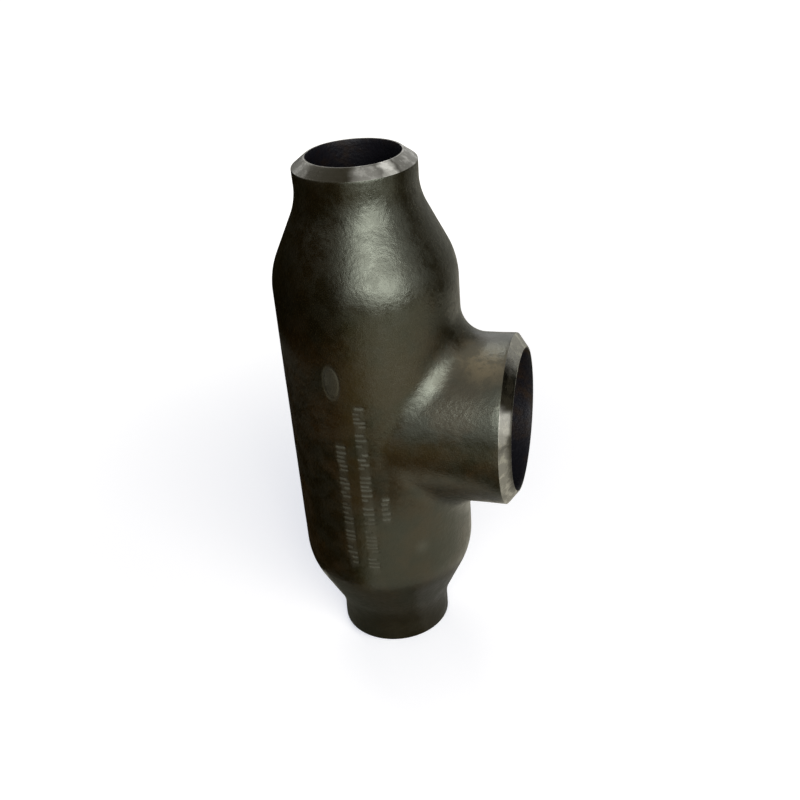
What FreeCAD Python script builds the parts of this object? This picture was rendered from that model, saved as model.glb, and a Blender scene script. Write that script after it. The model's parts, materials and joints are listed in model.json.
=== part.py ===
# Reducing tee: a hot-formed butt-weld pipe fitting, one piece of black steel.
# The run goes straight up through the fitting and is necked in at both ends. The outlet leaves the middle of
# the run at a right angle and is larger than the run ends. All three ends are bevelled for welding.
# Frame: the origin is the centre of the lower run end's face, +Z goes up the run and +X out along the outlet.
import FreeCAD
import Part
import math
import os

# Weld ends, in millimetres
RUN_END_OD = 114.3
RUN_END_WALL = 13.49
OUTLET_OD = 168.3
OUTLET_WALL = 14.27

# Weld preparation: a flat root face, then a plain bevel out to the outside diameter
ROOT_FACE = 1.6
BEVEL_ANGLE = 37.5

# Straight length at each end, with the bevel
RUN_END_STRAIGHT = 24.0
OUTLET_STRAIGHT = 28.5

# Barrel: the swollen middle of the run, which the outlet is drawn from
BARREL_OVER_OUTLET = 4.35  # how far the barrel's radius exceeds the outlet's
BARREL_THICKENING = 1.75  # what forming adds to the wall there, over the outlet's wall
BARREL_PLAIN = 28.1  # plain barrel left between the crotch blend and each shoulder

# Shoulder, from a run end out to the barrel: a hollow blend, a straight flank and a round blend
SHOULDER_SLOPE = 25.5  # the flank's angle to the run's axis
SHOULDER_WALL = 15.0  # measured square to the flank
NECK_BLEND = 68.0
BARREL_BLEND = 78.0

# Crotch: the blend all round the outlet's root, outside and inside
CROTCH_RADIUS = 30.0
INNER_CROTCH_RADIUS = 12.0

# How far the cut for the bores runs past each end face
OVERRUN = 5.0

# Kilograms in a cubic millimetre of steel, for the printed mass
STEEL_DENSITY = 7.85e-6

# Distances that differ by less than this are taken as equal when an edge is looked up
SAME_PLACE = 0.01

# Radii worked out from the sizes above
run_end_radius = RUN_END_OD / 2
run_bore_radius = run_end_radius - RUN_END_WALL
outlet_radius = OUTLET_OD / 2
outlet_bore_radius = outlet_radius - OUTLET_WALL
barrel_radius = outlet_radius + BARREL_OVER_OUTLET
chamber_radius = barrel_radius - OUTLET_WALL - BARREL_THICKENING

# The flank runs from the end of the hollow blend to the start of the round one
slope = math.radians(SHOULDER_SLOPE)
flank_low = RUN_END_STRAIGHT + NECK_BLEND * math.sin(slope)
flank_low_radius = run_end_radius + NECK_BLEND * (1 - math.cos(slope))
flank_high_radius = barrel_radius - BARREL_BLEND * (1 - math.cos(slope))
flank_high = flank_low + (flank_high_radius - flank_low_radius) / math.tan(slope)

shoulder_end = flank_high + BARREL_BLEND * math.sin(slope)
run_centre = shoulder_end + BARREL_PLAIN + CROTCH_RADIUS + outlet_radius
outlet_reach = barrel_radius + CROTCH_RADIUS + OUTLET_STRAIGHT

UP = FreeCAD.Vector(0, 0, 1)
ALONG_OUTLET = FreeCAD.Vector(1, 0, 0)


def point(x, z):
    """A point in the tee's plane of symmetry."""
    return FreeCAD.Vector(x, 0, z)


def lines(*points):
    """Straight edges from each point to the next."""
    return [Part.makeLine(start, end) for start, end in zip(points, points[1:])]


def arc(centre, radius, start, end):
    """Part of a circle in the plane of symmetry, between two angles from +X towards +Z in radians."""
    on_arc = []
    for angle in (start, (start + end) / 2, end):
        on_arc.append(centre + point(radius * math.cos(angle), radius * math.sin(angle)))
    return Part.Arc(*on_arc).toShape()


def spin(edges, centre, axis):
    """The solid that a closed outline makes in a full turn."""
    return Part.Face(Part.Wire(edges)).revolve(centre, axis, 360)


def bevel_depth(wall):
    """How far along the pipe the bevel of a wall reaches."""
    return (wall - ROOT_FACE) * math.tan(math.radians(BEVEL_ANGLE))


def both_halves(lower):
    """The lower half of the run with its mirror image at the top, as one solid."""
    upper = lower.mirror(point(0, run_centre), UP)
    return lower.fuse(upper).removeSplitter()


def run_outside():
    """Outside of the run: bevel, straight end, shoulder and barrel, the same at the top as at the bottom."""
    root_radius = run_bore_radius + ROOT_FACE
    foot = lines(
        point(0, 0),
        point(root_radius, 0),
        point(run_end_radius, bevel_depth(RUN_END_WALL)),
        point(run_end_radius, RUN_END_STRAIGHT),
    )
    neck_centre = point(run_end_radius + NECK_BLEND, RUN_END_STRAIGHT)
    neck = arc(neck_centre, NECK_BLEND, math.pi, math.pi - slope)
    flank = lines(point(flank_low_radius, flank_low), point(flank_high_radius, flank_high))
    round_centre = point(barrel_radius - BARREL_BLEND, shoulder_end)
    rounded = arc(round_centre, BARREL_BLEND, -slope, 0)
    barrel = lines(
        point(barrel_radius, shoulder_end),
        point(barrel_radius, run_centre),
        point(0, run_centre),
        point(0, 0),
    )
    return both_halves(spin(foot + [neck] + flank + [rounded] + barrel, point(0, 0), UP))


def run_inside():
    """Space inside the run: each bore opens by a taper, which lies along the flank, into the chamber."""
    taper_radius = flank_low_radius - SHOULDER_WALL * math.cos(slope)
    taper_height = flank_low + SHOULDER_WALL * math.sin(slope)
    taper_low = taper_height - (taper_radius - run_bore_radius) / math.tan(slope)
    taper_high = taper_height + (chamber_radius - taper_radius) / math.tan(slope)
    outline = lines(
        point(0, -OVERRUN),
        point(run_bore_radius, -OVERRUN),
        point(run_bore_radius, taper_low),
        point(chamber_radius, taper_high),
        point(chamber_radius, run_centre),
        point(0, run_centre),
        point(0, -OVERRUN),
    )
    return both_halves(spin(outline, point(0, 0), UP))


def outlet_outside():
    """Outside of the outlet, from the run's axis to its root face, with the bevel."""
    root_radius = outlet_bore_radius + ROOT_FACE
    outline = lines(
        point(0, run_centre),
        point(0, run_centre + outlet_radius),
        point(outlet_reach - bevel_depth(OUTLET_WALL), run_centre + outlet_radius),
        point(outlet_reach, run_centre + root_radius),
        point(outlet_reach, run_centre),
        point(0, run_centre),
    )
    return spin(outline, point(0, run_centre), ALONG_OUTLET)


def outlet_inside():
    """The outlet's bore, from the run's axis to past its face."""
    return Part.makeCylinder(
        outlet_bore_radius, outlet_reach + OVERRUN, point(0, run_centre), ALONG_OUTLET
    )


def saddle_edges(joined, around_run, around_outlet):
    """The edges where a barrel of one radius meets an outlet of the other."""
    edges = []
    for edge in joined.Edges:
        middle = edge.valueAt((edge.FirstParameter + edge.LastParameter) / 2)
        from_run = math.hypot(middle.x, middle.y)
        from_outlet = math.hypot(middle.y, middle.z - run_centre)
        if abs(from_run - around_run) < SAME_PLACE and abs(from_outlet - around_outlet) < SAME_PLACE:
            edges.append(edge)
    return edges


def outside():
    """The fitting as if it were solid metal."""
    crossed = run_outside().fuse(outlet_outside())
    return crossed.makeFillet(CROTCH_RADIUS, saddle_edges(crossed, barrel_radius, outlet_radius))


def inside():
    """The space inside: both run bores, the chamber between them and the outlet's bore."""
    crossed = run_inside().fuse(outlet_inside())
    return crossed.makeFillet(
        INNER_CROTCH_RADIUS, saddle_edges(crossed, chamber_radius, outlet_bore_radius)
    )


tee = outside().cut(inside())
os.makedirs("parts", exist_ok=True)
tee.exportStep("parts/tee_body.step")

box = tee.optimalBoundingBox()
print("solids", len(tee.Solids), "faces", len(tee.Faces), "valid", tee.isValid())
print("size", round(box.XLength, 2), round(box.YLength, 2), round(box.ZLength, 2))
print("run centre", round(run_centre, 2), "outlet reach", round(outlet_reach, 2))
print("mass in kg", round(tee.Volume * STEEL_DENSITY, 2))
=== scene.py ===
"""A butt-weld reducing tee in black steel, standing in a pale studio.

The run stands upright, necked in at both ends, and the outlet points along +X. The fitting is one forging
with a scaled skin, machined weld bevels, rough bores and plain punched marks on the barrel.
"""
import json
import math
import random

import bmesh
import bpy
from bpy.props import FloatProperty, FloatVectorProperty, IntProperty, PointerProperty
from mathutils import Matrix, Vector, noise


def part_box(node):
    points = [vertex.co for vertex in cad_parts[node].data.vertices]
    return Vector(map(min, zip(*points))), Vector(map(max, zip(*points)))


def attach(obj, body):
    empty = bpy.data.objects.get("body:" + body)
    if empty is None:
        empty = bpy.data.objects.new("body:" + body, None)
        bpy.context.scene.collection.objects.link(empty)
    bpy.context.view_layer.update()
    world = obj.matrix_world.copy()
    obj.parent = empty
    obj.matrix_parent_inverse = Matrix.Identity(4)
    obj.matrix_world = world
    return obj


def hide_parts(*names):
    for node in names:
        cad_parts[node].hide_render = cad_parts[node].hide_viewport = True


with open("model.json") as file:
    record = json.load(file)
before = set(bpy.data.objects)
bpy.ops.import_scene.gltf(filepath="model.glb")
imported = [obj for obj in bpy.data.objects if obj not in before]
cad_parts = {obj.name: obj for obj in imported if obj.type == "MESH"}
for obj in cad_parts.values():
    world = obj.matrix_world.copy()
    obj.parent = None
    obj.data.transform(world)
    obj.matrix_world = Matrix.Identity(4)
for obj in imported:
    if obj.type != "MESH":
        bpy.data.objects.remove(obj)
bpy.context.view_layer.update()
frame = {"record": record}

bl_info = {
    "name": "Black Steel Reducing Tee",
    "version": (1, 0, 0),
    "blender": (4, 5, 0),
    "location": "3D View > Sidebar > Tee",
    "description": "Builds a butt-weld reducing tee with scaled skin and machined bevels, and a studio",
    "category": "Object",
}

NODE = "tee_body"
BODY = "root"

MM = 0.001

# Distances within which points are one, a place counts as on the barrel, and so does a point just cut there
SAME_PLACE = 0.01 * MM
ON_BARREL = 0.1 * MM
CHORD_SAG = 0.05 * MM

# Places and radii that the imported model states
MOUNTS = {mount["name"]: mount for mount in frame["record"]["mounts"]}
RUN_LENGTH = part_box(NODE)[1].z
RUN_CENTRE = RUN_LENGTH / 2
OUTLET_REACH = MOUNTS["outlet_bore"]["pos_m"][0]
RUN_BORE = MOUNTS["run_lower_bore"]["dims"]["r_mm"] * MM
RUN_END = MOUNTS["run_lower_outside"]["dims"]["r_mm"] * MM
OUTLET_BORE = MOUNTS["outlet_bore"]["dims"]["r_mm"] * MM

# Mesh density: faces round the run, a face's usual length outside and inside, cuts each way in a face under
# the marks, and faces across a rounded corner
AROUND = 216
SKIN_PITCH = 2.6 * MM
BORE_PITCH = 6.0 * MM
MARK_CUTS = 2
CORNER_SEGMENTS = 2

# The outlet is drawn out of a window in the run: faces across it and up it, half its turn round the run,
# and how far it reaches past the outlet's root
CELLS_ACROSS = 94
CELLS_UP = 76
WINDOW_TURN = CELLS_ACROSS / 2 * (2 * math.pi / AROUND)
WINDOW_MARGIN = 6.0 * MM

# Rings of faces over the run, round the blend and along the outlet, outside and inside, and down the bevel
SKIN_RINGS = (12, 16, 8)
BORE_RINGS = (5, 5, 14)
BEVEL_RINGS = 4

# Edges that turn by more than the first are rounded, and machined ones by more than the second are sharp
CORNER_ANGLE = math.radians(30)
SHARP_ANGLE = math.radians(14)

# Faces keep these numbers in the mesh's list of materials
SKIN, BORE, TURNED = range(3)

# Values that the mesh carries point by point: the angle round the outlet, while that is drawn, and for the
# materials rubbed metal, rust, the painted glint on the bevels, and the place across the turning marks
OUTLET_ANGLE = "outlet_angle"
WORN = "worn"
RUST = "rust"
PAINTED_GLINT = "painted_glint"
TURNING = "turning"

# Columns of punched dashes down the barrel: degrees round the run, top and bottom, and width
COLUMNS = (
    (-84.0, 0.317, 0.128, 0.0095),
    (-98.0, 0.274, 0.135, 0.0085),
    (-73.0, 0.215, 0.190, 0.0070),
)

# A dash's thickness, the step to the next, how many make a group, the gap after it, and the shares of the
# column's width that a dash may take
DASH_WIDTH = 1.7 * MM
DASH_STEP = (4.2 * MM, 6.4 * MM)
GROUP_OF = (3, 6)
GROUP_GAP = 5.0 * MM
DASH_REACH = (0.5, 0.75, 1.0, 1.0)

# Where a dash's side starts and ends, in dash widths from its middle line
DASH_SIDE = (0.25, 0.8)

# The rubbed band along a column: where it fades, in column widths, how far past the dashes it goes, how
# rubbed it is, and how much of that every place has
BAND_SIDE = (0.3, 0.75)
BAND_TAIL = 6.0 * MM
BAND_RUBBED = 0.55
BAND_LEAST = 0.4

# A plain oval spot beside them: degrees round the run, height, and half its width and length
SPOT = (-99.5, 0.342, 0.0095, 0.0190)

# From 0 at the spot's middle to 1 at its edge: where its rubbing fades, its groove's line and the groove's
# side. Then how rubbed it is, how much of that every place has, and the groove's depth beside a dash's
SPOT_SIDE = (0.75, 1.1)
GROOVE_LINE = 0.85
GROOVE_SIDE = (0.02, 0.12)
SPOT_RUBBED = 0.75
SPOT_LEAST = 0.5
GROOVE_DEPTH = 0.8

# How far apart the marks' more and less rubbed places are
RUBBED_LENGTH = 6.0 * MM

# How far apart the humps of the broad and the fine unevenness are, and between which distances from an end
# face they grow
SWAY_LENGTH = 55.0 * MM
PEEL_LENGTH = 11.0 * MM
UNEVEN_FROM = (12.0 * MM, 30.0 * MM)

# Rusty and rubbed places on the skin: place, radius and strength
RUSTY = (
    ((0.118, -0.030, 0.343), 0.036, 1.1),
    ((-0.075, 0.045, 0.400), 0.070, 0.25),
    ((-0.020, 0.055, 0.500), 0.040, 0.35),
    ((0.055, -0.075, 0.215), 0.035, 0.10),
    ((-0.060, 0.060, 0.200), 0.060, 0.25),
    ((0.050, 0.075, 0.430), 0.050, 0.25),
)
RUBBED = (
    ((0.055, -0.069, 0.150), 0.012, 0.6),
    ((0.032, -0.074, 0.440), 0.018, 0.3),
)

# Painted glints and reflections on the bevels: lighter stretches round each end where light catches it,
# while the rest of each bevel is painted dark as shade. Which end, degrees round it, half their length in
# degrees, how light they are, and how much of the bevel's width they take, from its outer edge
BEVEL_GLINTS = (
    ("top", -38, 4, 1.0, 1.0),
    ("top", -60, 9, 0.42, 0.9),
    ("top", -18, 6, 0.32, 1.0),
    ("top", 10, 20, 0.48, 1.0),
    ("top", 60, 25, 0.12, 1.0),
    ("top", 114, 14, 0.80, 1.0),
    ("top", -150, 14, 0.22, 1.0),
    ("top", 168, 10, 0.45, 1.0),
    ("outlet", 5, 17, 1.0, 1.0),
    ("outlet", -63, 5, 1.0, 0.8),
    ("outlet", -72, 3, 0.70, 0.6),
    ("outlet", -104, 16, 0.55, 0.65),
    ("outlet", -138, 10, 0.46, 0.9),
    ("outlet", 120, 40, 0.35, 1.0),
    ("bottom", 40, 60, 0.35, 1.0),
    ("bottom", -120, 40, 0.35, 1.0),
)

# A stretch is at its lightest up to the first share of its half length, and gone at the second and some
# degrees more. Across the bevel it fades between these shares of the bevel, counted from its own width.
GLINT_FULL = 0.8
GLINT_GONE = 2.0
GLINT_TAIL = 3
GLINT_SIDE = (-0.1, 0.3)

# How many degrees a stretch's ends wander, and how far apart the wanderings are
GLINT_WANDER = 8
WANDER_LENGTH = 7.0 * MM


def size(name, description, default):
    """A length that a user may change."""
    return FloatProperty(
        name=name, description=description, default=default, min=0.0, precision=5, unit="LENGTH"
    )


def colour(name, description, default):
    """A colour that a user may change."""
    return FloatVectorProperty(
        name=name, description=description, default=default, size=3, min=0.0, max=1.0, subtype="COLOR"
    )


def turn(name, description, default):
    """An angle that a user may change, given here in degrees."""
    return FloatProperty(name=name, description=description, default=math.radians(default), subtype="ANGLE")


def power(name, description, default):
    """A lamp's power that a user may change, in watts."""
    return FloatProperty(name=name, description=description, default=default, min=0.0, unit="POWER")


class TeeSizes(bpy.types.PropertyGroup):
    """Sizes of the forging."""

    run_end: size("Run end radius", "Outside radius of the two run ends", RUN_END)
    run_bore: size("Run bore radius", "Bore radius of the two run ends", RUN_BORE)
    outlet: size("Outlet radius", "Outside radius of the outlet", 0.08415)
    outlet_bore: size("Outlet bore radius", "Bore radius of the outlet", OUTLET_BORE)
    barrel: size("Barrel radius", "Outside radius of the barrel", 0.0885)
    chamber: size("Chamber radius", "Radius of the space inside the barrel", 0.07248)
    root_face: size("Root face", "Width of the flat ring at each end", 0.0016)
    bevel_angle: turn("Bevel angle", "Slope of the weld bevel", 37.5)
    straight: size("Straight end", "Straight length of a run end, with its bevel", 0.024)
    slope: turn("Shoulder slope", "Angle of the shoulder's flank to the run", 25.5)
    shoulder_wall: size("Shoulder wall", "Wall measured square to the flank", 0.015)
    neck_blend: size("Neck blend", "Radius of the hollow below the flank", 0.068)
    barrel_blend: size("Barrel blend", "Radius of the round above the flank", 0.078)
    crotch: size("Crotch radius", "Blend round the outlet's root, outside", 0.030)
    inner_crotch: size("Inner crotch radius", "Blend round the outlet's root, inside", 0.012)
    corner: size("Corner round", "Rounding of the machined corners", 0.0004)


class TeeSkin(bpy.types.PropertyGroup):
    """Surface and colours of the forging."""

    sway: size("Sway", "Depth of the broad unevenness of the skin", 0.00040)
    peel: size("Peel", "Depth of the fine unevenness of the skin", 0.00014)
    punch: size("Punch depth", "Depth of the punched marks", 0.0007)
    seed: IntProperty(name="Seed", description="Which run of marks is drawn", default=7)
    scale_dark: colour("Scale", "Colour of the mill scale", (0.0040, 0.0027, 0.0005))
    scale_brown: colour("Brown scale", "Colour of the browner patches", (0.0115, 0.0052, 0.0006))
    scale_rust: colour("Rust", "Colour of the rusty places", (0.095, 0.072, 0.040))
    scale_worn: colour("Worn scale", "Colour of rubbed scale and of the marks", (0.028, 0.025, 0.018))
    # The bevels' light colour is bare steel where the painted glints fall; their dark colour is painted
    # shade, and stained steel too
    bare_and_glint_steel: colour("Bright steel", "Colour of the bevels where they are bare", (0.60, 0.59, 0.54))
    shade_and_stain_steel: colour("Dull steel", "Colour of the bevels where they are dark", (0.026, 0.023, 0.015))
    bore_scale: colour("Bore scale", "Colour of the scale inside", (0.0036, 0.0034, 0.0050))


class TeeStage(bpy.types.PropertyGroup):
    """Camera, lights and floor."""

    azimuth: turn("Azimuth", "Where the camera stands round the tee", 16.864)
    elevation: turn("Elevation", "How far the camera looks down", 29.481)
    roll: turn("Roll", "How far the camera leans", -4.921)
    distance: size("Distance", "From the camera to what it looks at", 1.0498)
    lens: FloatProperty(name="Lens", description="Focal length", default=47.16, min=1.0, unit="CAMERA")
    look_right: size("Look right", "Where the camera looks, out from the run", 0.0236)
    look_up: size("Look up", "Where the camera looks, above the floor", 0.2776)
    floor_colour: colour("Floor", "Colour of the floor", (0.76, 0.72, 0.62))
    key_power: power("Key light", "Power of the main soft light", 22.0)
    high_power: power("High light", "Power of the higher soft light", 8.0)
    back_power: power("Back light", "Power of the soft light behind", 9.0)
    fill: FloatProperty(name="Fill", description="Strength of the white world as a light", default=0.16)


def straight_steps(start, end, pitch):
    """Evenly spaced points from start to end, without the start."""
    count = max(1, round(math.dist(start, end) / pitch))
    return [tuple(Vector(start).lerp(Vector(end), step / count)) for step in range(1, count + 1)]


def arc_steps(centre, radius, start, end, pitch):
    """Evenly spaced points of an arc between two angles, without the start."""
    count = max(2, round(radius * abs(end - start) / pitch))
    points = []
    for step in range(1, count + 1):
        angle = start + (end - start) * step / count
        points.append((centre[0] + radius * math.cos(angle), centre[1] + radius * math.sin(angle)))
    return points


def bevel_depth(sizes, outside, bore):
    """How far along the pipe the weld bevel of a wall reaches."""
    return (outside - bore - sizes.root_face) * math.tan(sizes.bevel_angle)


def flank_ends(sizes):
    """Radius and height where the lower shoulder's flank starts and ends."""
    slope = sizes.slope
    low_radius = sizes.run_end + sizes.neck_blend * (1 - math.cos(slope))
    low = sizes.straight + sizes.neck_blend * math.sin(slope)
    high_radius = sizes.barrel - sizes.barrel_blend * (1 - math.cos(slope))
    high = low + (high_radius - low_radius) / math.tan(slope)
    return (low_radius, low), (high_radius, high)


def skin_outline(sizes, window_low):
    """Outside of the lower half, from the root face up to the window: points of radius and height."""
    slope = sizes.slope
    root = (sizes.run_bore + sizes.root_face, 0.0)
    bevel_top = (sizes.run_end, bevel_depth(sizes, sizes.run_end, sizes.run_bore))
    neck = (sizes.run_end, sizes.straight)
    neck_centre = (sizes.run_end + sizes.neck_blend, sizes.straight)
    flank_low, flank_high = flank_ends(sizes)
    shoulder_end = flank_high[1] + sizes.barrel_blend * math.sin(slope)
    barrel_centre = (sizes.barrel - sizes.barrel_blend, shoulder_end)
    outline = [(sizes.run_bore, 0.0), root]
    outline += straight_steps(root, bevel_top, SKIN_PITCH)
    outline += straight_steps(bevel_top, neck, SKIN_PITCH)
    outline += arc_steps(neck_centre, sizes.neck_blend, math.pi, math.pi - slope, SKIN_PITCH)
    outline += straight_steps(flank_low, flank_high, SKIN_PITCH)
    outline += arc_steps(barrel_centre, sizes.barrel_blend, -slope, 0.0, SKIN_PITCH)
    outline += straight_steps(outline[-1], (sizes.barrel, window_low), SKIN_PITCH)
    return outline


def bore_outline(sizes, window_low):
    """Inside of the lower half, from the root face up to the window: bore, taper and chamber."""
    slope = sizes.slope
    flank_radius, flank_height = flank_ends(sizes)[0]
    taper_radius = flank_radius - sizes.shoulder_wall * math.cos(slope)
    taper_height = flank_height + sizes.shoulder_wall * math.sin(slope)
    taper_low = (sizes.run_bore, taper_height - (taper_radius - sizes.run_bore) / math.tan(slope))
    taper_high = (sizes.chamber, taper_height + (sizes.chamber - taper_radius) / math.tan(slope))
    outline = [(sizes.run_bore, 0.0)]
    outline += straight_steps(outline[-1], taper_low, BORE_PITCH)
    outline += straight_steps(taper_low, taper_high, BORE_PITCH)
    outline += straight_steps(taper_high, (sizes.chamber, window_low), BORE_PITCH)
    return outline


def new_shell():
    """An empty mesh with a place for each vertex's angle round the outlet."""
    shell = bmesh.new()
    shell.verts.layers.float.new(OUTLET_ANGLE)
    return shell


def lathe(shell, lower, half_height):
    """Spins a whole run from its lower outline, with evenly spaced rows across the window."""
    radius = lower[-1][0]
    row = 2 * half_height / CELLS_UP
    window = [(radius, RUN_CENTRE - half_height + row * step) for step in range(1, CELLS_UP)]
    upper = [(r, RUN_LENGTH - z) for r, z in reversed(lower)]
    chain = [shell.verts.new((r, 0.0, z)) for r, z in lower + window + upper]
    edges = [shell.edges.new(pair) for pair in zip(chain, chain[1:])]
    circle = {"cent": (0, 0, 0), "axis": (0, 0, 1), "angle": 2 * math.pi, "steps": AROUND}
    bmesh.ops.spin(shell, geom=chain + edges, use_merge=True, **circle)


def angle_on_square(across, up):
    """Angle round the outlet, from its top to +Y, of a place on the rim of a square of half-width 1."""
    quarter = math.pi / 4
    if abs(up) >= abs(across):
        return quarter * across if up > 0 else math.pi - quarter * across
    return math.pi / 2 - quarter * up if across > 0 else -math.pi / 2 + quarter * up


def square_at(angle):
    """The place on the rim of a square of half-width 1 that has this angle round the outlet."""
    quarters = (angle / (math.pi / 4) + 1) % 8 - 1
    if quarters <= 1:
        return quarters, 1.0
    if quarters <= 3:
        return 1.0, 2 - quarters
    if quarters <= 5:
        return 4 - quarters, -1.0
    return -1.0, quarters - 6


def cut_window(shell, half_height):
    """Opens the side of the run towards +X. Returns the window's rim, each vertex marked with its angle."""
    inside = set()
    for face in shell.faces:
        centre = face.calc_center_median()
        if abs(centre.z - RUN_CENTRE) < half_height and abs(math.atan2(centre.y, centre.x)) < WINDOW_TURN:
            inside.add(face)
    sides = {edge for face in inside for edge in face.edges}
    rim = {edge for edge in sides if any(face not in inside for face in edge.link_faces)}
    bmesh.ops.delete(shell, geom=list(inside), context="FACES")
    layer = shell.verts.layers.float[OUTLET_ANGLE]
    for vertex in {v for edge in rim for v in edge.verts}:
        across = math.atan2(vertex.co.y, vertex.co.x) / WINDOW_TURN
        vertex[layer] = angle_on_square(across, (vertex.co.z - RUN_CENTRE) / half_height)
    return list(rim)


class Root:
    """The outlet's root, seen from the run's centre: where a ball rolls between the run and the outlet."""

    def __init__(self, run, outlet, blend):
        self.run = run
        self.outlet = outlet
        self.blend = blend
        self.half_height = outlet + blend + WINDOW_MARGIN

    def ball(self, angle):
        """Centre of the ball at an angle round the outlet."""
        y = (self.outlet + self.blend) * math.sin(angle)
        z = (self.outlet + self.blend) * math.cos(angle)
        return Vector((math.sqrt((self.run + self.blend) ** 2 - y * y), y, z))

    def on_run(self, share, angle):
        """Over the run, from the window's rim to where the ball touches."""
        across, up = square_at(angle)
        touch = self.ball(angle)
        turned = across * WINDOW_TURN * (1 - share) + math.atan2(touch.y, touch.x) * share
        height = up * self.half_height * (1 - share) + touch.z * share
        return Vector((self.run * math.cos(turned), self.run * math.sin(turned), height))

    def on_blend(self, share, angle):
        """Round the ball, from the run to the outlet."""
        centre = self.ball(angle)
        to_run = Vector((-centre.x, -centre.y, 0)).normalized()
        to_outlet = Vector((0, -math.sin(angle), -math.cos(angle)))
        return centre + self.blend * to_run.slerp(to_outlet, share)

    def on_outlet(self, share, angle, end):
        """Along the outlet, from the blend to its end."""
        start = self.ball(angle).x
        return round_outlet(self.outlet, start + (end - start) * share, angle)


def round_outlet(radius, x, angle):
    """A place round the outlet's axis, seen from the run's centre."""
    return Vector((x, radius * math.sin(angle), radius * math.cos(angle)))


def draw_ring(shell, rim, place):
    """Extrudes the rim by one ring of faces and sets each new vertex at the place given for its angle."""
    layer = shell.verts.layers.float[OUTLET_ANGLE]
    grown = bmesh.ops.extrude_edge_only(shell, edges=rim)["geom"]
    for item in grown:
        if isinstance(item, bmesh.types.BMVert):
            item.co = place(item[layer]) + Vector((0, 0, RUN_CENTRE))
    return [item for item in grown if isinstance(item, bmesh.types.BMEdge) and item.is_boundary]


def draw_outlet(shell, root, end, rings):
    """Draws the outlet out of the run: over the run, round the blend and straight to its end."""
    stretches = (root.on_run, root.on_blend, lambda share, angle: root.on_outlet(share, angle, end))
    rim = cut_window(shell, root.half_height)
    for stretch, count in zip(stretches, rings):
        for step in range(1, count + 1):
            rim = draw_ring(shell, rim, lambda angle: stretch(step / count, angle))
    return rim


def outer_skin(sizes):
    """The outside as an open shell, with a bevel at each end."""
    shell = new_shell()
    root = Root(sizes.barrel, sizes.outlet, sizes.crotch)
    lathe(shell, skin_outline(sizes, RUN_CENTRE - root.half_height), root.half_height)
    depth = bevel_depth(sizes, sizes.outlet, sizes.outlet_bore)
    rim = draw_outlet(shell, root, OUTLET_REACH - depth, SKIN_RINGS)
    drop = sizes.outlet - sizes.outlet_bore - sizes.root_face
    for step in range(1, BEVEL_RINGS + 1):
        share = step / BEVEL_RINGS
        radius = sizes.outlet - drop * share
        x = OUTLET_REACH - depth * (1 - share)
        rim = draw_ring(shell, rim, lambda angle: round_outlet(radius, x, angle))
    draw_ring(shell, rim, lambda angle: round_outlet(sizes.outlet_bore, OUTLET_REACH, angle))
    return shell


def inner_skin(sizes):
    """The inside as an open shell: both run bores, the chamber and the outlet's bore."""
    shell = new_shell()
    root = Root(sizes.chamber, sizes.outlet_bore, sizes.inner_crotch)
    lathe(shell, bore_outline(sizes, RUN_CENTRE - root.half_height), root.half_height)
    draw_outlet(shell, root, OUTLET_REACH, BORE_RINGS)
    return shell


def joined(outer, inner):
    """One closed shell: the two skins meet at the inner rims of the root faces."""
    scratch = bpy.data.meshes.new("inner_skin")
    inner.to_mesh(scratch)
    inner.free()
    skin_faces = len(outer.faces)
    outer.from_mesh(scratch)
    bpy.data.meshes.remove(scratch)
    outer.faces.ensure_lookup_table()
    for face in outer.faces[skin_faces:]:
        face.material_index = BORE
    rims = {vertex for edge in outer.edges if edge.is_boundary for vertex in edge.verts}
    bmesh.ops.remove_doubles(outer, verts=list(rims), dist=SAME_PLACE)
    if any(not edge.is_manifold for edge in outer.edges):
        raise RuntimeError("the two skins don't close")
    bmesh.ops.recalc_face_normals(outer, faces=outer.faces)
    return outer


def from_end(sizes, place):
    """The nearest end of the fitting, how far a place lies from it, and how far from that end's axis."""
    from_face = OUTLET_REACH - place.x
    if place.x > sizes.barrel and from_face < sizes.crotch + WINDOW_MARGIN:
        return "outlet", from_face, math.hypot(place.y, place.z - RUN_CENTRE)
    radius = math.hypot(place.x, place.y)
    if place.z < RUN_CENTRE:
        return "bottom", place.z, radius
    return "top", RUN_LENGTH - place.z, radius


def end_sizes(sizes, end):
    """Outside radius, bore radius and bevel depth of one end."""
    if end == "outlet":
        outside, bore = sizes.outlet, sizes.outlet_bore
    else:
        outside, bore = sizes.run_end, sizes.run_bore
    return outside, bore, bevel_depth(sizes, outside, bore)


def glint_at(which, degrees, across):
    """How strong the painted glint on the bevel of one end is, at an angle round it and at a share of its
    width.
    """
    light = 0.0
    for end, middle, half, lightest, width in BEVEL_GLINTS:
        if end == which:
            off_middle = abs(wrapped(degrees - middle))
            along = fade(off_middle, GLINT_FULL * half, GLINT_GONE * half + GLINT_TAIL)
            side = fade(across, width + GLINT_SIDE[0], width + GLINT_SIDE[1])
            light = max(light, lightest * along * side)
    return light


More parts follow.
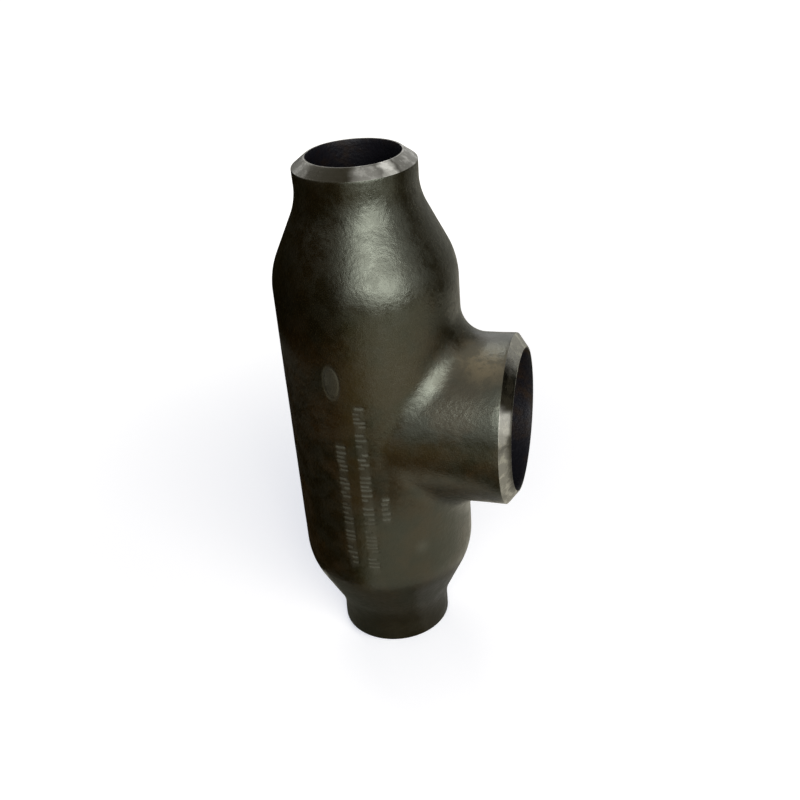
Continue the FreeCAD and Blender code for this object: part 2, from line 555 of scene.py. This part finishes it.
def paint_turned(sizes, shell):
    """Gives the bevels and root faces their material, and each vertex its painted glint and place on the
    rings.
    """
    for face in shell.faces:
        end, away, radius = from_end(sizes, face.calc_center_median())
        _, bore, depth = end_sizes(sizes, end)
        if away < depth and radius > bore + SAME_PLACE:
            face.material_index = TURNED
    painted_glint = shell.verts.layers.float.new(PAINTED_GLINT)
    turning = shell.verts.layers.float.new(TURNING)
    for vertex in shell.verts:
        place = vertex.co
        end, away, radius = from_end(sizes, place)
        outside, _, depth = end_sizes(sizes, end)
        angle = math.atan2(place.y, place.z - RUN_CENTRE if end == "outlet" else place.x)
        across = (outside - radius) / (depth / math.tan(sizes.bevel_angle))
        wander = GLINT_WANDER * (waver(place, WANDER_LENGTH) - 0.5)
        vertex[turning] = away + radius
        vertex[painted_glint] = glint_at(end, math.degrees(angle) + wander, across)


def wrapped(degrees):
    """An angle brought between -180 and 180 degrees."""
    return (degrees + 180) % 360 - 180


def fade(value, low, high):
    """Goes smoothly from 1 to 0 as the value goes from low to high."""
    share = min(max((value - low) / (high - low), 0.0), 1.0)
    return 1 - share * share * (3 - 2 * share)


def round_corners(sizes, shell):
    """Rounds the machined corners slightly and shades them sharp."""
    corners = [edge for edge in shell.edges if edge.calc_face_angle(0.0) > CORNER_ANGLE]
    shape = {"offset": sizes.corner, "offset_type": "OFFSET", "segments": CORNER_SEGMENTS, "profile": 0.5}
    bmesh.ops.bevel(shell, geom=corners, affect="EDGES", material=-1, clamp_overlap=True, **shape)
    for face in shell.faces:
        face.smooth = True
    for edge in shell.edges:
        machined = any(face.material_index == TURNED for face in edge.link_faces)
        edge.smooth = not (machined and edge.calc_face_angle(0.0) > SHARP_ANGLE)


def dashes(seed):
    """Every punched dash: its column's angle, its start and end across the column, and its height."""
    pick = random.Random(seed)
    marks = []
    for turned, top, bottom, width in COLUMNS:
        height = top
        left = pick.randint(*GROUP_OF)
        while height > bottom:
            reach = width * pick.choice(DASH_REACH)
            shift = (width - reach) * pick.choice((-0.5, 0.5))
            marks.append((math.radians(turned), shift - reach / 2, shift + reach / 2, height))
            height -= pick.uniform(*DASH_STEP)
            left -= 1
            if left == 0:
                height -= GROUP_GAP
                left = pick.randint(*GROUP_OF)
    return marks


def in_marks(sizes, place, margin):
    """Whether a place on the barrel lies in a column or on the oval spot, or within a margin of them."""
    turned = math.degrees(math.atan2(place.y, place.x))
    for middle, top, bottom, width in COLUMNS:
        across = abs(math.radians(turned - middle)) * sizes.barrel
        if across < width / 2 + margin and bottom - margin < place.z < top + margin:
            return True
    middle, height, half_width, half_length = SPOT
    across = math.radians(turned - middle) * sizes.barrel
    return math.hypot(across / (half_width + margin), (place.z - height) / (half_length + margin)) < 1


def refine_marks(sizes, shell):
    """Divides the faces under the marks, so that the dashes have a shape."""
    cut = set()
    for face in shell.faces:
        centre = face.calc_center_median()
        off_barrel = abs(math.hypot(centre.x, centre.y) - sizes.barrel)
        if face.material_index == SKIN and off_barrel < ON_BARREL and in_marks(sizes, centre, SKIN_PITCH):
            cut.update(face.edges)
    bmesh.ops.subdivide_edges(shell, edges=list(cut), cuts=MARK_CUTS, use_grid_fill=True)
    for vertex in shell.verts:
        radius = math.hypot(vertex.co.x, vertex.co.y)
        if abs(radius - sizes.barrel) < CHORD_SAG and in_marks(sizes, vertex.co, 2 * SKIN_PITCH):
            vertex.co.x *= sizes.barrel / radius
            vertex.co.y *= sizes.barrel / radius
    uneven = [face for face in shell.faces if len(face.verts) > 4]
    bmesh.ops.triangulate(shell, faces=uneven)


def waver(place, length):
    """Smooth noise from 0 to 1 that changes over about this length."""
    return min(max(0.5 + 0.5 * noise.noise(place / length), 0.0), 1.0)


def blobs(place, spots):
    """How much of the listed soft spots is felt at a place."""
    felt = []
    for middle, radius, strength in spots:
        felt.append(strength * fade((place - Vector(middle)).length, 0.0, radius))
    return max(felt)


def work_skin(sizes, skin, shell):
    """Gives skin and bores their unevenness, punches the marks, and notes rubbed and rusty places."""
    worn = shell.verts.layers.float.new(WORN)
    rust = shell.verts.layers.float.new(RUST)
    marks = dashes(skin.seed)
    shell.normal_update()
    moves = []
    for vertex in shell.verts:
        materials = {face.material_index for face in vertex.link_faces}
        if TURNED in materials:
            continue
        place = vertex.co.copy()
        _, away, radius = from_end(sizes, place)
        uneven = skin.sway * waver(place, SWAY_LENGTH) + skin.peel * waver(place, PEEL_LENGTH)
        depth = (1 - fade(away, *UNEVEN_FROM)) * uneven
        if SKIN in materials:
            vertex[rust] = blobs(place, RUSTY)
            vertex[worn] = blobs(place, RUBBED)
            if in_marks(sizes, place, 2 * SKIN_PITCH) and abs(radius - sizes.barrel) < ON_BARREL:
                punched, rubbed = mark_at(sizes, place, marks)
                depth += skin.punch * punched
                vertex[worn] = max(vertex[worn], rubbed)
        moves.append((vertex, place - vertex.normal * depth))
    for vertex, place in moves:
        vertex.co = place


def mark_at(sizes, place, marks):
    """How deep the dashes and the oval spot are at a place, and how rubbed it is, both from 0 to 1."""
    turned = math.atan2(place.y, place.x)
    punched = 0.0
    for angle, start, end, height in marks:
        if abs(place.z - height) < DASH_WIDTH:
            across = (turned - angle) * sizes.barrel
            beyond = max(start - across, across - end, 0.0)
            off_line = math.hypot(beyond, place.z - height) / DASH_WIDTH
            punched = max(punched, fade(off_line, *DASH_SIDE))
    uneven = waver(place, RUBBED_LENGTH)
    rubbed = punched
    for middle, top, bottom, width in COLUMNS:
        across = abs(turned - math.radians(middle)) * sizes.barrel
        beyond = max(place.z - top, bottom - place.z, 0.0)
        band = fade(across / width, *BAND_SIDE) * fade(beyond, 0.0, BAND_TAIL)
        rubbed = max(rubbed, BAND_RUBBED * band * (BAND_LEAST + (1 - BAND_LEAST) * uneven))
    middle, height, half_width, half_length = SPOT
    across = (turned - math.radians(middle)) * sizes.barrel
    round_spot = math.hypot(across / half_width, (place.z - height) / half_length)
    spot = fade(round_spot, *SPOT_SIDE)
    rubbed = max(rubbed, SPOT_RUBBED * spot * (SPOT_LEAST + (1 - SPOT_LEAST) * uneven))
    groove = fade(abs(round_spot - GROOVE_LINE), *GROOVE_SIDE)
    return max(punched, GROOVE_DEPTH * groove), rubbed


def add_object(context, name, data):
    """A new object of the scene."""
    added = bpy.data.objects.new(name, data)
    context.scene.collection.objects.link(added)
    return added


def add_mesh(context, name, shell):
    """A new object of the scene, made from a bmesh that isn't needed after it."""
    mesh = bpy.data.meshes.new(name)
    shell.to_mesh(mesh)
    shell.free()
    return add_object(context, name, mesh)


class TEE_OT_forging(bpy.types.Operator):
    """Builds the forging as one closed shell, in place of the plain solid"""

    bl_idname = "tee.forging"
    bl_label = "Build the forging"

    def execute(self, context):
        sizes = context.scene.tee_sizes
        skin = context.scene.tee_skin
        shell = joined(outer_skin(sizes), inner_skin(sizes))
        shell.verts.layers.float.remove(shell.verts.layers.float[OUTLET_ANGLE])
        paint_turned(sizes, shell)
        round_corners(sizes, shell)
        refine_marks(sizes, shell)
        work_skin(sizes, skin, shell)
        piece = add_mesh(context, "tee_forging", shell)
        for build in (skin_material, bore_material, turned_material):
            piece.data.materials.append(build(skin))
        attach(piece, BODY)
        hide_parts(NODE)
        print("forging triangles", sum(len(face.vertices) - 2 for face in piece.data.polygons))
        return {"FINISHED"}


# The Mix node's own numbers for its sockets when it mixes colours
MIX_SHARE, MIX_FIRST, MIX_SECOND, MIX_RESULT = 0, 6, 7, 2


def feed(tree, node, inputs):
    """Sets or links a node's inputs, by name or by number."""
    for name, value in inputs.items():
        if isinstance(value, bpy.types.NodeSocket):
            tree.links.new(value, node.inputs[name])
        else:
            node.inputs[name].default_value = value


def add_node(tree, kind, inputs, **fields):
    """Adds a node, sets its fields and feeds its inputs."""
    node = tree.nodes.new(kind)
    for name, value in fields.items():
        setattr(node, name, value)
    feed(tree, node, inputs)
    return node


def opaque(paint):
    """A colour with its fourth number, or the socket that gives it."""
    return paint if isinstance(paint, bpy.types.NodeSocket) else (*paint, 1.0)


def mixed(tree, share, first, second):
    """A colour that goes from the first to the second with share."""
    inputs = {MIX_SHARE: share, MIX_FIRST: opaque(first), MIX_SECOND: opaque(second)}
    return add_node(tree, "ShaderNodeMix", inputs, data_type="RGBA").outputs[MIX_RESULT]


def spread(tree, value, low, high, to_low=0.0, to_high=1.0):
    """A value that goes smoothly from to_low to to_high as the given one goes from low to high."""
    inputs = {"Value": value, "From Min": low, "From Max": high, "To Min": to_low, "To Max": to_high}
    return add_node(tree, "ShaderNodeMapRange", inputs, interpolation_type="SMOOTHSTEP").outputs["Result"]


def eased(tree, share, at_none, at_full):
    """A value that goes smoothly from the first to the second as a share goes from 0 to 1."""
    return spread(tree, share, 0.0, 1.0, at_none, at_full)


def worked(tree, operation, first, second):
    """The result of one sum of two numbers."""
    return add_node(tree, "ShaderNodeMath", {0: first, 1: second}, operation=operation).outputs[0]


def noise_at(tree, vector, scale, detail, roughness):
    """Smooth noise, from 0 to 1."""
    inputs = {"Vector": vector, "Scale": scale, "Detail": detail, "Roughness": roughness}
    return add_node(tree, "ShaderNodeTexNoise", inputs).outputs["Fac"]


def object_place(tree):
    """The place on the piece, in its own coordinates."""
    return tree.nodes.new("ShaderNodeTexCoord").outputs["Object"]


def new_group(name, inputs, outputs):
    """An empty node group with number inputs, vector ones where the default is None, and number outputs."""
    group = bpy.data.node_groups.new(name, "ShaderNodeTree")
    for label, default in inputs.items():
        kind = "NodeSocketVector" if default is None else "NodeSocketFloat"
        socket = group.interface.new_socket(name=label, in_out="INPUT", socket_type=kind)
        if default is not None:
            socket.default_value = default
    for label in outputs:
        group.interface.new_socket(name=label, in_out="OUTPUT", socket_type="NodeSocketFloat")
    return group, group.nodes.new("NodeGroupInput").outputs, group.nodes.new("NodeGroupOutput").inputs


# Detail and roughness of the noise for the grain's humps, grit and flakes, and for ragged patches
HUMPS = (2.0, 0.5)
GRIT = (3.0, 0.65)
FLAKES = (6.0, 0.7)
PATCHES = (5.0, 0.6)

# How many times finer than the humps the grit and the flakes are, the grit's share of the height, and where
# in the noise a flake starts and is whole. Then half the width of a patch's edge in the noise
GRIT_FINER = 4.0
FLAKES_FINER = 0.8
GRIT_SHARE = 0.35
FLAKES_FROM = (0.55, 0.68)
PATCH_EDGE = 0.12


def forge_grain_group():
    """Uneven scale: a height for the bump, and specks where the scale has flaked."""
    name = "forge_grain"
    if name in bpy.data.node_groups:
        return bpy.data.node_groups[name]
    group, given, out = new_group(name, {"Vector": None, "Size": 0.005}, ("Height", "Flakes"))
    scale = worked(group, "DIVIDE", 1.0, given["Size"])
    grit_scale = worked(group, "MULTIPLY", scale, GRIT_FINER)
    flake_scale = worked(group, "MULTIPLY", scale, FLAKES_FINER)
    humps = noise_at(group, given["Vector"], scale, *HUMPS)
    grit = noise_at(group, given["Vector"], grit_scale, *GRIT)
    flakes = noise_at(group, given["Vector"], flake_scale, *FLAKES)
    height = worked(group, "ADD", humps, worked(group, "MULTIPLY", grit, GRIT_SHARE))
    group.links.new(height, out["Height"])
    group.links.new(spread(group, flakes, *FLAKES_FROM), out["Flakes"])
    return group


def bloom_group():
    """Ragged patches, as rust, oil and scale leave them."""
    name = "bloom"
    if name in bpy.data.node_groups:
        return bpy.data.node_groups[name]
    group, given, out = new_group(name, {"Vector": None, "Size": 0.05, "Cover": 0.5}, ("Patches",))
    scale = worked(group, "DIVIDE", 1.0, given["Size"])
    patches = noise_at(group, given["Vector"], scale, *PATCHES)
    edge = worked(group, "SUBTRACT", 1.0, given["Cover"])
    low = worked(group, "SUBTRACT", edge, PATCH_EDGE)
    high = worked(group, "ADD", edge, PATCH_EDGE)
    group.links.new(spread(group, patches, low, high), out["Patches"])
    return group


def grain_at(tree, place, width):
    """What the forge grain gives at a place, with humps of this width."""
    inputs = {"Vector": place, "Size": width}
    return add_node(tree, "ShaderNodeGroup", inputs, node_tree=forge_grain_group()).outputs


def patches_at(tree, place, width, cover):
    """Ragged patches of a width, over a share of the surface."""
    inputs = {"Vector": place, "Size": width, "Cover": cover}
    return add_node(tree, "ShaderNodeGroup", inputs, node_tree=bloom_group()).outputs["Patches"]


def cleared_tree(owner):
    """The node tree of a material or world, emptied."""
    owner.use_nodes = True
    owner.node_tree.nodes.clear()
    return owner.node_tree


def new_material(name):
    """An empty material with its Principled shader wired to the output."""
    material = bpy.data.materials.new(name)
    tree = cleared_tree(material)
    shader = tree.nodes.new("ShaderNodeBsdfPrincipled")
    add_node(tree, "ShaderNodeOutputMaterial", {"Surface": shader.outputs["BSDF"]})
    return material, tree, shader


def bumped(tree, height, distance):
    """A normal from a height that stands for this distance where it is 1."""
    inputs = {"Height": height, "Distance": distance, "Strength": 1.0}
    return add_node(tree, "ShaderNodeBump", inputs).outputs["Normal"]


def read_value(tree, name):
    """A value that the mesh carries."""
    return add_node(tree, "ShaderNodeAttribute", {}, attribute_name=name).outputs["Fac"]


# The skin: size and height of its grain, sizes of its brown and its dull patches, how much of it each kind
# covers, and how far the dull ones are moved, so that they don't follow the brown ones
SKIN_GRAIN = 4.5 * MM
SKIN_RELIEF = 0.28 * MM
BROWN_SIZE = 50.0 * MM
DULL_SIZE = 14.0 * MM
PATCH_COVER = 0.50
DULL_SHIFT = (0.31, 0.12, 0.23)

# The brown is full over the barrel only: heights where it fades above and below, and how much is left there
BROWN_TOP = (0.34, 0.43)
BROWN_FOOT = (0.06, 0.13)
BROWN_ABOVE = 0.2
BROWN_BELOW = 0.3

# How rusty a rusty place is where it isn't dull, how light the flakes are, the roughness from oily to dull,
# what rubbing adds to it, and the gloss and its tint
RUST_LEAST = 0.45
FLAKE_SHARE = 0.12
SKIN_ROUGHNESS = (0.29, 0.38)
RUBBED_ROUGHER = 0.15
SKIN_GLOSS = 0.62
SKIN_TINT = (0.93, 1.0, 0.82)

# The bores: size and height of the grain, size and cover of the rust, roughness of both, and gloss
BORE_GRAIN = 3.0 * MM
BORE_RELIEF = 0.4 * MM
BORE_RUST_SIZE = 30.0 * MM
BORE_RUST_COVER = 0.42
BORE_ROUGHNESS = (0.45, 0.65)
BORE_GLOSS = 0.15

# The bevels: fineness, detail and height of the turning marks, where in their noise the painted glint gets
# stronger and by how much, size and cover of the stains, and how strong the painted glint is and how rough
# the metal is beside and in them
RING_SCALE = 2500.0
RING_DETAIL = 2.0
RING_RELIEF = 0.08 * MM
RING_SIDES = (0.3, 0.7)
RING_GLINT = (0.80, 1.15)
STAIN_SIZE = 8.0 * MM
STAIN_COVER = 0.55
STAIN_GLINT = (1.1, 0.65)
TURNED_ROUGHNESS = (0.30, 0.50)


def skin_material(skin):
    """Mill scale under an oily coat: browner in patches, rusty in places, rubbed lighter on the marks."""
    material, tree, shader = new_material("black_scale")
    place = object_place(tree)
    inputs = {"Vector": place, "Location": DULL_SHIFT}
    shifted = add_node(tree, "ShaderNodeMapping", inputs).outputs["Vector"]
    grain = grain_at(tree, place, SKIN_GRAIN)
    brown = patches_at(tree, place, BROWN_SIZE, PATCH_COVER)
    dull = patches_at(tree, shifted, DULL_SIZE, PATCH_COVER)
    rusty = worked(tree, "MULTIPLY", read_value(tree, RUST), eased(tree, dull, RUST_LEAST, 1.0))
    worn = read_value(tree, WORN)
    height = add_node(tree, "ShaderNodeSeparateXYZ", {"Vector": place}).outputs["Z"]
    below_top = spread(tree, height, *BROWN_TOP, 1.0, BROWN_ABOVE)
    above_foot = spread(tree, height, *BROWN_FOOT, BROWN_BELOW, 1.0)
    browned = worked(tree, "MULTIPLY", brown, worked(tree, "MULTIPLY", below_top, above_foot))
    flaked = worked(tree, "MULTIPLY", grain["Flakes"], FLAKE_SHARE)
    base = mixed(tree, browned, skin.scale_dark, skin.scale_brown)
    base = mixed(tree, rusty, base, skin.scale_rust)
    base = mixed(tree, flaked, base, skin.scale_worn)
    base = mixed(tree, worn, base, skin.scale_worn)
    rubbed = worked(tree, "MULTIPLY", worn, RUBBED_ROUGHER)
    rough = worked(tree, "ADD", eased(tree, dull, *SKIN_ROUGHNESS), rubbed)
    normal = bumped(tree, grain["Height"], SKIN_RELIEF)
    feed(tree, shader, {"Base Color": base, "Roughness": rough, "Normal": normal})
    feed(tree, shader, {"Specular IOR Level": SKIN_GLOSS, "Specular Tint": opaque(SKIN_TINT)})
    return material


def bore_material(skin):
    """Dark scale inside, with rust bloom."""
    material, tree, shader = new_material("bore_scale")
    place = object_place(tree)
    grain = grain_at(tree, place, BORE_GRAIN)
    rust = patches_at(tree, place, BORE_RUST_SIZE, BORE_RUST_COVER)
    base = mixed(tree, rust, skin.bore_scale, skin.scale_brown)
    rough = eased(tree, rust, *BORE_ROUGHNESS)
    normal = bumped(tree, grain["Height"], BORE_RELIEF)
    feed(tree, shader, {"Base Color": base, "Roughness": rough, "Normal": normal})
    feed(tree, shader, {"Specular IOR Level": BORE_GLOSS})
    return material


def turned_material(skin):
    """Machined steel with turning marks: painted glints make it light round parts of each bevel, painted
    shade keeps the rest dark, and stains dull it in places.
    """
    material, tree, shader = new_material("turned_steel")
    inputs = {"W": read_value(tree, TURNING), "Scale": RING_SCALE, "Detail": RING_DETAIL}
    rings = add_node(tree, "ShaderNodeTexNoise", inputs, noise_dimensions="1D").outputs["Fac"]
    stains = patches_at(tree, object_place(tree), STAIN_SIZE, STAIN_COVER)
    # This share is the painted glint, cut by the turning rings and the stains; where it is low the bevel
    # gets its dark colour as painted shade
    bare_and_glint = worked(tree, "MULTIPLY", read_value(tree, PAINTED_GLINT), spread(tree, rings, *RING_SIDES, *RING_GLINT))
    bare_and_glint = worked(tree, "MULTIPLY", bare_and_glint, eased(tree, stains, *STAIN_GLINT))
    base = mixed(tree, bare_and_glint, skin.shade_and_stain_steel, skin.bare_and_glint_steel)
    rough = eased(tree, stains, *TURNED_ROUGHNESS)
    normal = bumped(tree, rings, RING_RELIEF)
    feed(tree, shader, {"Base Color": base, "Roughness": rough, "Normal": normal, "Metallic": 1.0})
    return material


# The studio, in metres and degrees: the floor's radius and how many sides it has. Then each light's size and
# distance, where it stands round the tee, and its angle above the floor
FLOOR_RADIUS = 8.0
FLOOR_SIDES = 64
LIGHTS = (
    ("key_light", (1.00, 0.95), 1.5, -49, 19),
    ("high_light", (0.64, 0.60), 1.5, -73, 31),
    ("back_light", (1.10, 0.60), 1.7, 122, 46),
)

# Matt cloths round the tee, which only reflections see, give it its dark and its grey sides. Mats lie just
# above the floor, and flags stand or hang. Each has an outline of radius and height, the angles where it
# starts and ends, and its colour.
DRAPES = (
    ("left_mat", ((0.13, 0.001), (0.92, 0.001)), 95, 246, (0.016, 0.009, 0.001)),
    ("left_flag", ((0.20, 0.31), (0.20, 0.56)), 95, 265, (0.012, 0.009, 0.002)),
    ("right_flag", ((0.45, 0.22), (0.45, 0.68)), 0, 28, (0.03, 0.03, 0.02)),
    ("far_right_flag", ((0.45, 0.22), (0.45, 0.68)), 29, 64, (0.50, 0.50, 0.46)),
    ("front_mat", ((0.13, 0.001), (2.2, 0.001)), 246, 258, (0.22, 0.19, 0.08)),
    ("middle_mat", ((0.40, 0.001), (3.0, 0.001)), 258, 278, (0.29, 0.27, 0.15)),
    ("wide_mat", ((0.60, 0.001), (0.95, 0.001)), 285, 350, (0.56, 0.56, 0.45)),
    ("far_mat", ((1.10, 0.001), (2.6, 0.001)), 280, 330, (0.20, 0.20, 0.15)),
    # This flag is painted shadow: a dark sheet just under the outlet, which darkens the outlet's underside
    # and the barrel below it in reflections
    ("outlet_shadow_flag", ((0.15, 0.160), (0.27, 0.160)), 262, 330, (0.12, 0.11, 0.07)),
    # The two foot mats are painted shadow: in reflections they darken the floor round the tee's foot, as its
    # shade would
    ("foot_shadow_mat", ((0.058, 0.001), (0.125, 0.001)), 180, 320, (0.15, 0.15, 0.12)),
    ("right_foot_shadow_mat", ((0.058, 0.001), (0.125, 0.001)), 320, 440, (0.37, 0.36, 0.33)),
)

# Faces along each of them
DRAPE_STEPS = 48

# The floor shines a little of itself, so that it comes out white where no shadow falls: its shine near the
# tee, between which distances that goes to white, and its shine in reflections
FLOOR_GLOW = (0.40, 0.43, 0.52)
GLOW_FROM_TEE = (0.1, 1.8)
FLOOR_GLOW_MIRRORED = (0.12, 0.12, 0.09)

WHITE = (1.0, 1.0, 1.0)

# How far the camera sees
CLIP_END = 60.0


def direction(azimuth, elevation):
    """A unit vector at an angle from +X towards +Y and at an angle above the floor."""
    level = math.cos(elevation)
    return Vector((level * math.cos(azimuth), level * math.sin(azimuth), math.sin(elevation)))


def add_camera(context, stage):
    """The camera at the photograph's place, leaning as it leaned."""
    az, el, roll = stage.azimuth, stage.elevation, stage.roll
    forward = Vector((-math.sin(az) * math.cos(el), math.cos(az) * math.cos(el), -math.sin(el)))
    level = Vector((math.cos(az), math.sin(az), 0.0))
    upright = level.cross(forward)
    right = level * math.cos(roll) + upright * math.sin(roll)
    up = upright * math.cos(roll) - level * math.sin(roll)
    data = bpy.data.cameras.new("photo_camera")
    data.lens = stage.lens
    data.clip_end = CLIP_END
    camera = add_object(context, "photo_camera", data)
    place = Vector((stage.look_right, 0.0, stage.look_up)) - forward * stage.distance
    camera.matrix_world = Matrix.Translation(place) @ Matrix((right, up, -forward)).transposed().to_4x4()
    context.scene.camera = camera


def add_light(context, name, box, distance, azimuth, elevation, watts):
    """A soft box that faces the tee."""
    data = bpy.data.lights.new(name, "AREA")
    data.shape = "RECTANGLE"
    data.size, data.size_y = box
    data.energy = watts
    light = add_object(context, name, data)
    away = direction(math.radians(azimuth), math.radians(elevation))
    place = Vector((0.0, 0.0, RUN_CENTRE)) + away * distance
    light.matrix_world = Matrix.Translation(place) @ away.to_track_quat("Z", "Y").to_matrix().to_4x4()


def seen_by_camera(tree):
    """Two values that are 1 where the camera sees a surface: directly, and in reflections and glass too."""
    path = tree.nodes.new("ShaderNodeLightPath").outputs
    mirrored = worked(tree, "MAXIMUM", path["Is Glossy Ray"], path["Is Transmission Ray"])
    return path["Is Camera Ray"], worked(tree, "MAXIMUM", path["Is Camera Ray"], mirrored)


def light_world(context, stage):
    """White surroundings: full white to look at and in reflections, and softer as a light."""
    world = bpy.data.worlds.new("studio")
    tree = cleared_tree(world)
    seen = seen_by_camera(tree)[1]
    inputs = {"Color": opaque(WHITE), "Strength": eased(tree, seen, stage.fill, 1.0)}
    background = add_node(tree, "ShaderNodeBackground", inputs)
    add_node(tree, "ShaderNodeOutputWorld", {"Surface": background.outputs["Background"]})
    context.scene.world = world


def floor_material(stage):
    """Matt and pale, with a glow that brings it to white in the picture but leaves the tee's shadow."""
    material = bpy.data.materials.new("studio_floor")
    tree = cleared_tree(material)
    paint = add_node(tree, "ShaderNodeBsdfDiffuse", {"Color": opaque(stage.floor_colour)})
    length = add_node(tree, "ShaderNodeVectorMath", {0: object_place(tree)}, operation="LENGTH")
    far = spread(tree, length.outputs["Value"], *GLOW_FROM_TEE)
    directly, seen = seen_by_camera(tree)
    shine = mixed(tree, directly, FLOOR_GLOW_MIRRORED, mixed(tree, far, FLOOR_GLOW, WHITE))
    glow = add_node(tree, "ShaderNodeEmission", {"Color": shine, "Strength": seen})
    lit = add_node(tree, "ShaderNodeAddShader", {0: paint.outputs[0], 1: glow.outputs[0]})
    add_node(tree, "ShaderNodeOutputMaterial", {"Surface": lit.outputs[0]})
    return material


def drape_material(name, cloth):
    """Matt cloth of one colour."""
    material, tree, shader = new_material(name)
    feed(tree, shader, {"Base Color": opaque(cloth), "Roughness": 1.0, "Specular IOR Level": 0.0})
    return material


def add_drape(context, name, outline, start, end, cloth):
    """A mat or flag, spun round the tee between two angles, which only reflections see."""
    sheet = bmesh.new()
    turned = Matrix.Rotation(math.radians(start), 3, "Z")
    chain = [sheet.verts.new(turned @ Vector((radius, 0.0, height))) for radius, height in outline]
    edges = [sheet.edges.new(pair) for pair in zip(chain, chain[1:])]
    angle = math.radians(end - start)
    bmesh.ops.spin(
        sheet, geom=chain + edges, cent=(0, 0, 0), axis=(0, 0, 1), angle=angle, steps=DRAPE_STEPS
    )
    drape = add_mesh(context, name, sheet)
    drape.data.materials.append(drape_material(name, cloth))
    drape.visible_camera = False
    drape.visible_diffuse = False
    drape.visible_shadow = False
    drape.visible_transmission = False
    drape.visible_volume_scatter = False


class TEE_OT_stage(bpy.types.Operator):
    """Sets the camera, the light, the pale floor and the white surroundings"""

    bl_idname = "tee.stage"
    bl_label = "Set the stage"

    def execute(self, context):
        stage = context.scene.tee_stage
        disc = bmesh.new()
        bmesh.ops.create_circle(disc, cap_ends=True, segments=FLOOR_SIDES, radius=FLOOR_RADIUS)
        floor = add_mesh(context, "studio_floor", disc)
        floor.data.materials.append(floor_material(stage))
        add_camera(context, stage)
        for drape in DRAPES:
            add_drape(context, *drape)
        for light, watts in zip(LIGHTS, (stage.key_power, stage.high_power, stage.back_power)):
            add_light(context, *light, watts)
        light_world(context, stage)
        context.scene.view_settings.view_transform = "Standard"
        return {"FINISHED"}


class TEE_PT_panel(bpy.types.Panel):
    """Lists the steps and what may be changed"""

    bl_idname = "TEE_PT_panel"
    bl_label = "Reducing Tee"
    bl_space_type = "VIEW_3D"
    bl_region_type = "UI"
    bl_category = "Tee"

    def draw(self, context):
        steps = (("tee_sizes", None), ("tee_skin", "tee.forging"), ("tee_stage", "tee.stage"))
        for group, operator in steps:
            values = getattr(context.scene, group)
            column = self.layout.column()
            for name in values.bl_rna.properties.keys():
                if name not in ("rna_type", "name"):
                    column.prop(values, name)
            if operator:
                column.operator(operator)


CLASSES = (TeeSizes, TeeSkin, TeeStage, TEE_OT_forging, TEE_OT_stage, TEE_PT_panel)


def register():
    for item in CLASSES:
        bpy.utils.register_class(item)
    bpy.types.Scene.tee_sizes = PointerProperty(type=TeeSizes)
    bpy.types.Scene.tee_skin = PointerProperty(type=TeeSkin)
    bpy.types.Scene.tee_stage = PointerProperty(type=TeeStage)


def unregister():
    del bpy.types.Scene.tee_stage
    del bpy.types.Scene.tee_skin
    del bpy.types.Scene.tee_sizes
    for item in reversed(CLASSES):
        bpy.utils.unregister_class(item)


def main():
    register()
    bpy.ops.tee.forging()
    bpy.ops.tee.stage()


if __name__ == "__main__":
    main()
